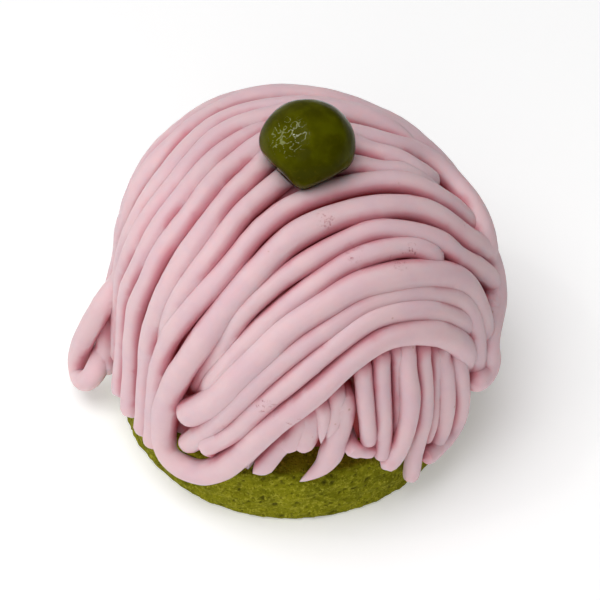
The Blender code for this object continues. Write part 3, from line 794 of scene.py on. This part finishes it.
def uneven_side(points):
    """Points of the sponge with its side's broad bumps."""
    flat = np.hypot(points[:, 0], points[:, 1])
    outward = np.column_stack((points[:, 0], points[:, 1], np.zeros(len(points))))
    outward = outward / np.maximum(flat, 1.0)[:, None]
    from_middle = [SPONGE_RADIUS - distance for distance in SPONGE_RIM_FADE]
    side_share = smoothstep(*SPONGE_FOOT_FADE, points[:, 2]) * smoothstep(*from_middle, flat)
    place = points / SPONGE_BUMP_SIZE
    broad = np.array([noise.noise(Vector(point)) for point in place.tolist()])
    return points + outward * (SPONGE_ROUGHNESS * broad * side_share)[:, None]


def sponge_cutter():
    """A slightly larger sponge, to fit the paste's underside to it."""
    top = SPONGE_HEIGHT + CONTACT_GAP
    inset, drop = CUTTER_SHOULDER
    outline = [(0.0, 0.0), (SPONGE_RADIUS, 0.0)]
    for height in np.linspace(CUTTER_FOOT, SPONGE_HEIGHT - SPONGE_RIM_ROUND, CUTTER_HEIGHTS):
        outline.append((SPONGE_RADIUS + SPONGE_BULGE, height))
    outline += [(SPONGE_RADIUS - inset, SPONGE_HEIGHT - drop), (SPONGE_RADIUS - CUTTER_RIM, top),
                (0.0, top)]
    points, faces = lathe_mesh(outline, CUTTER_SIDES)
    return new_mesh_object("sponge_cutter", uneven_side(points), faces)


def pore_share(point, spacing, shift, radius):
    """How deep in a pore a point lies, from 0 to 1."""
    distance = noise.voronoi(point / spacing + Vector(shift))[0][0]
    return max(0.0, 1.0 - distance / radius)


def crumb_noise(point, size, shift):
    """Smooth noise from about -1 to 1, with features of a size in millimetres."""
    return noise.noise(point / size + Vector(shift))


def make_sponge():
    """The sponge disc with a torn, porous crumb."""
    points, faces = lathe_mesh(sponge_profile(), SPONGE_SIDES)
    points = uneven_side(points)
    item = new_mesh_object("sponge_disc", points, faces)
    flat = np.hypot(points[:, 0], points[:, 1])
    normals = mesh_normals(item)
    relief = np.zeros(len(points))
    pore_shade = np.zeros(len(points))
    for row in np.nonzero(flat > SPONGE_RADIUS - CRUMB_RING)[0].tolist():
        point = Vector(points[row])
        middle = crumb_noise(point, *CRUMB_MIDDLE)
        fine = crumb_noise(point, *CRUMB_FINE)
        small_pore = pore_share(point, *SMALL_PORE)
        wide_pore = pore_share(point, *WIDE_PORE)
        relief[row] = (CRUMB_MIDDLE_HEIGHT * middle + CRUMB_FINE_HEIGHT * fine
                       - SMALL_PORE_DEPTH * small_pore - WIDE_PORE_DEPTH * wide_pore)
        # Painted shade: how dark each pit and low bump is painted.
        pore_shade[row] = min(1.0, small_pore * SMALL_PORE_SHADE + wide_pore
                         + max(0.0, -middle) * LOW_BUMP_SHADE)
    base_share = smoothstep(*CRUMB_FADE, points[:, 2])
    points = points + normals * (relief * base_share)[:, None]
    points[:, 2] = np.clip(points[:, 2], 0.0, SPONGE_HEIGHT + SPONGE_TOP_REACH)
    set_mesh_points(item, points)
    add_values(item, "pore_shade", pore_shade)
    item.data.shade_smooth()
    return item


def bean_reach(ways):
    """Distance of the bean's skin from its middle: a ball with two soft flats."""
    size = np.full(len(ways), BEAN_RADIUS ** -BEAN_FLAT_HARDNESS)
    for facing, distance in BEAN_FLATS:
        towards = np.maximum(ways @ np.array(facing), 0.0)
        size += (towards / distance) ** BEAN_FLAT_HARDNESS
    return size ** (-1.0 / BEAN_FLAT_HARDNESS)


def bean_cutter():
    """A slightly larger plain bean, to fit the paste under it."""
    fall = np.radians(np.linspace(-90.0, 90.0, BEAN_CUTTER_RINGS))
    outline = np.column_stack((np.cos(fall), np.sin(fall)))
    ways, faces = lathe_mesh(outline, BEAN_CUTTER_SIDES)
    reach = bean_reach(ways) + BEAN_CUTTER_GAP
    points = ways * reach[:, None] * np.array((1.0, 1.0, BEAN_FLATNESS))
    return new_mesh_object("bean_cutter", points + BEAN_CENTRE, faces)


def bean_noise(way, across, shift):
    """Smooth noise over the bean, with a number of features across it."""
    return noise.noise(way * across + Vector(shift))


def make_bean():
    """The candied bean: a slightly flattened ball with a wrinkled, glazed skin."""
    fall = (np.pi * np.arange(1, BEAN_RINGS) / BEAN_RINGS - np.pi / 2.0)[:, None]
    angle = np.arange(BEAN_SIDES) * math.tau / BEAN_SIDES
    ways = np.stack((np.cos(fall) * np.cos(angle), np.cos(fall) * np.sin(angle),
                     np.repeat(np.sin(fall), BEAN_SIDES, axis=1)), axis=-1).reshape(-1, 3)
    ways = np.concatenate((ways, np.array(((0.0, 0.0, -1.0), (0.0, 0.0, 1.0)))))
    glint = Vector(unit(np.array(GLINT_DIRECTION)))
    reach = np.empty(len(ways))
    glaze_and_glint = np.zeros(len(ways))
    for row, way in enumerate(ways.tolist()):
        way = Vector(way)
        value = 1.0 + BEAN_WRINKLE * noise.noise(way * BEAN_WRINKLES_ACROSS)
        value += BEAN_FINE_WRINKLE * bean_noise(way, *BEAN_FINE_NOISE)
        near = max(0.0, 1.0 - (way - glint).length / GLINT_REACH)
        crease = max(0.0, 1.0 - CREASE_NARROWNESS * abs(bean_noise(way, *CREASE_NOISE)))
        # Lines of syrup near the glint direction get gloss and a painted highlight.
        line = max(0.0, 1.0 - GLAZE_AND_GLINT_NARROWNESS * abs(bean_noise(way, *GLAZE_AND_GLINT_NOISE)))
        reach[row] = value - CREASE_DEPTH * near * crease
        glaze_and_glint[row] = min(1.0, GLAZE_AND_GLINT_STRENGTH * near) * line
    reach *= bean_reach(ways)
    points = BEAN_CENTRE + ways * reach[:, None] * np.array((1.0, 1.0, BEAN_FLATNESS))
    item = new_mesh_object("glazed_bean", points, ring_faces(BEAN_RINGS - 1, BEAN_SIDES))
    add_values(item, "glaze_and_glint", glaze_and_glint)
    item.data.shade_smooth()
    return item


class Shader:
    """Small helper that adds and links nodes of one material."""

    def __init__(self, name):
        self.material = bpy.data.materials.new(name)
        self.material.use_nodes = True
        self.tree = self.material.node_tree
        self.main = self.tree.nodes["Principled BSDF"]
        self.place = self.tree.nodes.new("ShaderNodeTexCoord").outputs["Object"]

    def link(self, source, target):
        """Join an output to an input."""
        self.tree.links.new(source, target)

    def add(self, kind, **values):
        """A new node with some of its settings."""
        node = self.tree.nodes.new(kind)
        for key, value in values.items():
            setattr(node, key, value)
        return node

    def noise(self, size, detail=3.0, roughness=0.55, stretch=None):
        """Noise with features of about a size in millimetres."""
        node = self.add("ShaderNodeTexNoise")
        node.inputs["Scale"].default_value = 1.0 / (size * MM)
        node.inputs["Detail"].default_value = detail
        node.inputs["Roughness"].default_value = roughness
        place = self.place
        if stretch is not None:
            mapping = self.add("ShaderNodeMapping")
            mapping.inputs["Scale"].default_value = stretch
            self.link(place, mapping.inputs["Vector"])
            place = mapping.outputs["Vector"]
        self.link(place, node.inputs["Vector"])
        return node.outputs["Fac"]

    def cells(self, size):
        """Distance to the nearest of scattered points, with a spacing in millimetres."""
        node = self.add("ShaderNodeTexVoronoi")
        node.inputs["Scale"].default_value = 1.0 / (size * MM)
        self.link(self.place, node.inputs["Vector"])
        return node.outputs["Distance"]

    def attribute(self, name):
        """A number that is stored at each vertex."""
        return self.add("ShaderNodeAttribute", attribute_name=name).outputs["Fac"]

    def spread(self, value, low, high, to_low=0.0, to_high=1.0):
        """A value taken smoothly from one range to another."""
        node = self.add("ShaderNodeMapRange", interpolation_type="SMOOTHSTEP")
        node.inputs["From Min"].default_value = low
        node.inputs["From Max"].default_value = high
        node.inputs["To Min"].default_value = to_low
        node.inputs["To Max"].default_value = to_high
        self.link(value, node.inputs["Value"])
        return node.outputs["Result"]

    def maths(self, operation, first, second):
        """Two values or plain numbers put together by an operation."""
        node = self.add("ShaderNodeMath", operation=operation)
        for socket, value in zip(node.inputs, (first, second)):
            if isinstance(value, (int, float)):
                socket.default_value = value
            else:
                self.link(value, socket)
        return node.outputs["Value"]

    def mix(self, share, first, second):
        """Two colours mixed by a share."""
        node = self.add("ShaderNodeMix", data_type="RGBA")
        ends = [socket for socket in node.inputs if socket.type == "RGBA"]
        self.link(share, node.inputs[0])
        for socket, value in zip(ends, (first, second)):
            if isinstance(value, tuple):
                socket.default_value = (*value, 1.0)
            else:
                self.link(value, socket)
        return [socket for socket in node.outputs if socket.type == "RGBA"][0]

    def bump(self, height, strength, distance, under=None):
        """Normals bent by a height, on top of other bent normals if there are any."""
        node = self.add("ShaderNodeBump")
        node.inputs["Strength"].default_value = strength
        node.inputs["Distance"].default_value = distance * MM
        self.link(height, node.inputs["Height"])
        if under is not None:
            self.link(under, node.inputs["Normal"])
        return node.outputs["Normal"]

    def finish(self, **values):
        """Set plain values on the shader's own sockets, and hand back the material."""
        for name, value in values.items():
            self.main.inputs[name.replace("_", " ")].default_value = value
        return self.material


def paste_material():
    """Pink paste with painted shade, darker and redder in its grooves, recesses and deep parts,
    with rare specks and a few torn spots.
    """
    shader = Shader("paste_pink")
    inputs = shader.main.inputs
    mottle = shader.noise(size=7.0, detail=4.0)
    colour = shader.mix(shader.spread(mottle, low=0.35, high=0.65), *PASTE_COLOURS)
    # Painted shade: darker, redder paste in the grooves, recesses and deep parts.
    for name, low, high, tint in PASTE_PAINTED_SHADES:
        colour = shader.mix(shader.spread(shader.attribute(name), low, high), colour, tint)
    cells = shader.cells(SPECK_SPACING)
    specks = shader.spread(cells, low=0.05, high=0.10, to_low=1.0, to_high=0.0)
    rare = shader.spread(shader.noise(size=9.0, detail=2.0), low=0.56, high=0.62)
    rare_share = shader.maths("MULTIPLY", rare, SPECK_SHARE)
    colour = shader.mix(shader.maths("MULTIPLY", specks, rare_share), colour, SPECK_COLOUR)
    near_spot = shader.spread(shader.attribute("crumbs"), low=0.0, high=0.6)
    shreds = shader.spread(shader.noise(size=0.6, detail=2.0), low=0.52, high=0.72)
    torn = shader.maths("MULTIPLY", near_spot, shreds)
    colour = shader.mix(shader.maths("MULTIPLY", torn, TORN_SHARE), colour, TORN_COLOUR)
    shader.link(colour, inputs["Base Color"])
    grain = shader.noise(size=0.45)
    roughness = shader.spread(grain, low=0.3, high=0.7, to_low=0.50, to_high=0.64)
    shader.link(roughness, inputs["Roughness"])
    normal = shader.bump(shader.noise(size=1.3), strength=0.25, distance=0.12)
    whole = shader.maths("SUBTRACT", 1.0, torn)
    normal = shader.bump(whole, strength=0.5, distance=0.20, under=normal)
    normal = shader.bump(grain, strength=0.18, distance=0.05, under=normal)
    shader.link(normal, inputs["Normal"])
    return shader.finish(Subsurface_Weight=0.75, Subsurface_Radius=(1.0, 0.55, 0.50),
                         Subsurface_Scale=2.3 * MM, Specular_IOR_Level=0.32)


def sponge_material():
    """Mottled green crumb, with painted shade in its pores and low bumps."""
    shader = Shader("sponge_green")
    inputs = shader.main.inputs
    fine = shader.noise(size=0.42, roughness=0.65)
    masks = {
        "streak": shader.noise(size=1.6, detail=4.0, roughness=0.6, stretch=(1.0, 1.0, 2.6)),
        "speckle": shader.noise(size=0.75, roughness=0.7),
        "fine": fine,
        "pore_shade": shader.attribute("pore_shade"),
    }
    broad = shader.noise(size=4.5, detail=4.0)
    colour = shader.mix(shader.spread(broad, low=0.36, high=0.64), *SPONGE_COLOURS)
    for name, (low, high, most, tint) in SPONGE_TINTS.items():
        colour = shader.mix(shader.spread(masks[name], low, high, to_high=most), colour, tint)
    shader.link(colour, inputs["Base Color"])
    roughness = shader.spread(fine, low=0.3, high=0.7, to_low=0.78, to_high=0.95)
    shader.link(roughness, inputs["Roughness"])
    shader.link(shader.bump(fine, strength=0.6, distance=0.20), inputs["Normal"])
    return shader.finish(Specular_IOR_Level=0.06)


def bean_material():
    """Dark green skin, with fine glossy lines of syrup that also carry a painted highlight."""
    shader = Shader("bean_green")
    inputs = shader.main.inputs
    cloud = shader.noise(size=4.0)
    fine = shader.noise(size=0.7)
    colour = shader.mix(shader.spread(cloud, low=0.35, high=0.68), *BEAN_COLOURS)
    brown = shader.spread(fine, low=0.55, high=0.75, to_high=BEAN_BROWN_SHARE)
    colour = shader.mix(brown, colour, BEAN_BROWN)
    # Painted highlight: pale lines of syrup near the glint direction.
    glaze_and_glint = shader.attribute("glaze_and_glint")
    painted_glint_lines = shader.spread(glaze_and_glint, low=0.25, high=0.85, to_high=PAINTED_GLINT_SHARE)
    colour = shader.mix(painted_glint_lines, colour, PAINTED_GLINT_COLOUR)
    shader.link(colour, inputs["Base Color"])
    gloss = shader.spread(glaze_and_glint, low=0.2, high=0.8, to_low=0.02, to_high=0.4)
    shader.link(gloss, inputs["Specular IOR Level"])
    roughness = shader.spread(fine, low=0.3, high=0.7, to_low=0.05, to_high=0.09)
    shader.link(roughness, inputs["Roughness"])
    shader.link(shader.bump(fine, strength=0.25, distance=0.10), inputs["Normal"])
    return shader.finish(Subsurface_Weight=0.25, Subsurface_Radius=(0.8, 1.0, 0.2),
                         Subsurface_Scale=1.0 * MM)


def floor_material():
    """Plain pale floor with a faint glow of its own."""
    shader = Shader("pale_floor")
    soft = shader.noise(size=60.0, detail=2.0)
    shader.link(shader.mix(soft, *FLOOR_COLOURS), shader.main.inputs["Base Color"])
    return shader.finish(Roughness=0.9, Specular_IOR_Level=0.1,
                         Emission_Color=(1.0, 1.0, 1.0, 1.0), Emission_Strength=FLOOR_GLOW)


def aim(item, target):
    """Turn a light or the camera to face a point."""
    way = Vector(target) - item.location
    item.rotation_mode = "QUATERNION"
    item.rotation_quaternion = way.to_track_quat("-Z", "Y")


def place_item(name, data, place):
    """A new object at a place in the scene."""
    item = bpy.data.objects.new(name, data)
    item.location = place
    bpy.context.scene.collection.objects.link(item)
    return item


def add_light(name, place, size, power):
    """A round area light that faces the cake."""
    light = bpy.data.lights.new(name, "AREA")
    light.shape = "DISK"
    light.size = size
    light.energy = power
    aim(place_item(name, light, place), LIGHT_TARGET)


def add_world():
    """White light all round, which falls off from the left to the right."""
    world = bpy.data.worlds.new("studio")
    world.use_nodes = True
    nodes = world.node_tree.nodes
    links = world.node_tree.links
    nodes["Background"].inputs["Color"].default_value = (1.0, 1.0, 1.0, 1.0)
    place = nodes.new("ShaderNodeTexCoord")
    parts = nodes.new("ShaderNodeSeparateXYZ")
    fall = nodes.new("ShaderNodeMapRange")
    for name, value in (("From Min", -1.0), ("From Max", 1.0), ("To Min", WORLD_LEFT),
                        ("To Max", WORLD_RIGHT)):
        fall.inputs[name].default_value = value
    links.new(place.outputs["Generated"], parts.inputs["Vector"])
    links.new(parts.outputs["X"], fall.inputs["Value"])
    links.new(fall.outputs["Result"], nodes["Background"].inputs["Strength"])
    bpy.context.scene.world = world


def add_camera():
    """The camera, which looks at the cake as the photo's does."""
    camera_data = bpy.data.cameras.new("camera")
    camera_data.lens = CAMERA_LENS
    camera_data.sensor_width = CAMERA_SENSOR
    camera_data.clip_start = CAMERA_CLIP
    target = Vector(CAMERA_TARGET)
    elevation = math.radians(CAMERA_ELEVATION)
    back = CAMERA_DISTANCE * Vector((0.0, -math.cos(elevation), math.sin(elevation)))
    camera = place_item("camera", camera_data, target + back)
    aim(camera, target)
    bpy.context.scene.camera = camera


def make_stage():
    """The floor, the lights and the camera."""
    corners = ((-1, -1), (1, -1), (1, 1), (-1, 1))
    mesh = bpy.data.meshes.new("floor")
    mesh.from_pydata([(x * FLOOR_HALF, y * FLOOR_HALF, 0.0) for x, y in corners],
                     [], [(0, 1, 2, 3)])
    floor = place_item("floor", mesh, (0.0, 0.0, 0.0))
    floor.data.materials.append(floor_material())
    for light in LIGHTS:
        add_light(*light)
    add_world()
    add_camera()
    bpy.context.scene.view_settings.view_transform = "Standard"


PIECES = (
    (make_sponge, sponge_material, "sponge_base", "sponge"),
    (make_paste, paste_material, "piped_paste", "paste"),
    (make_bean, bean_material, "candied_bean", "bean"),
)

for make, material, node, slot in PIECES:
    piece = make()
    piece.data.materials.clear()
    piece.data.materials.append(material())
    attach(piece, "root")
    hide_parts(node)

make_stage()
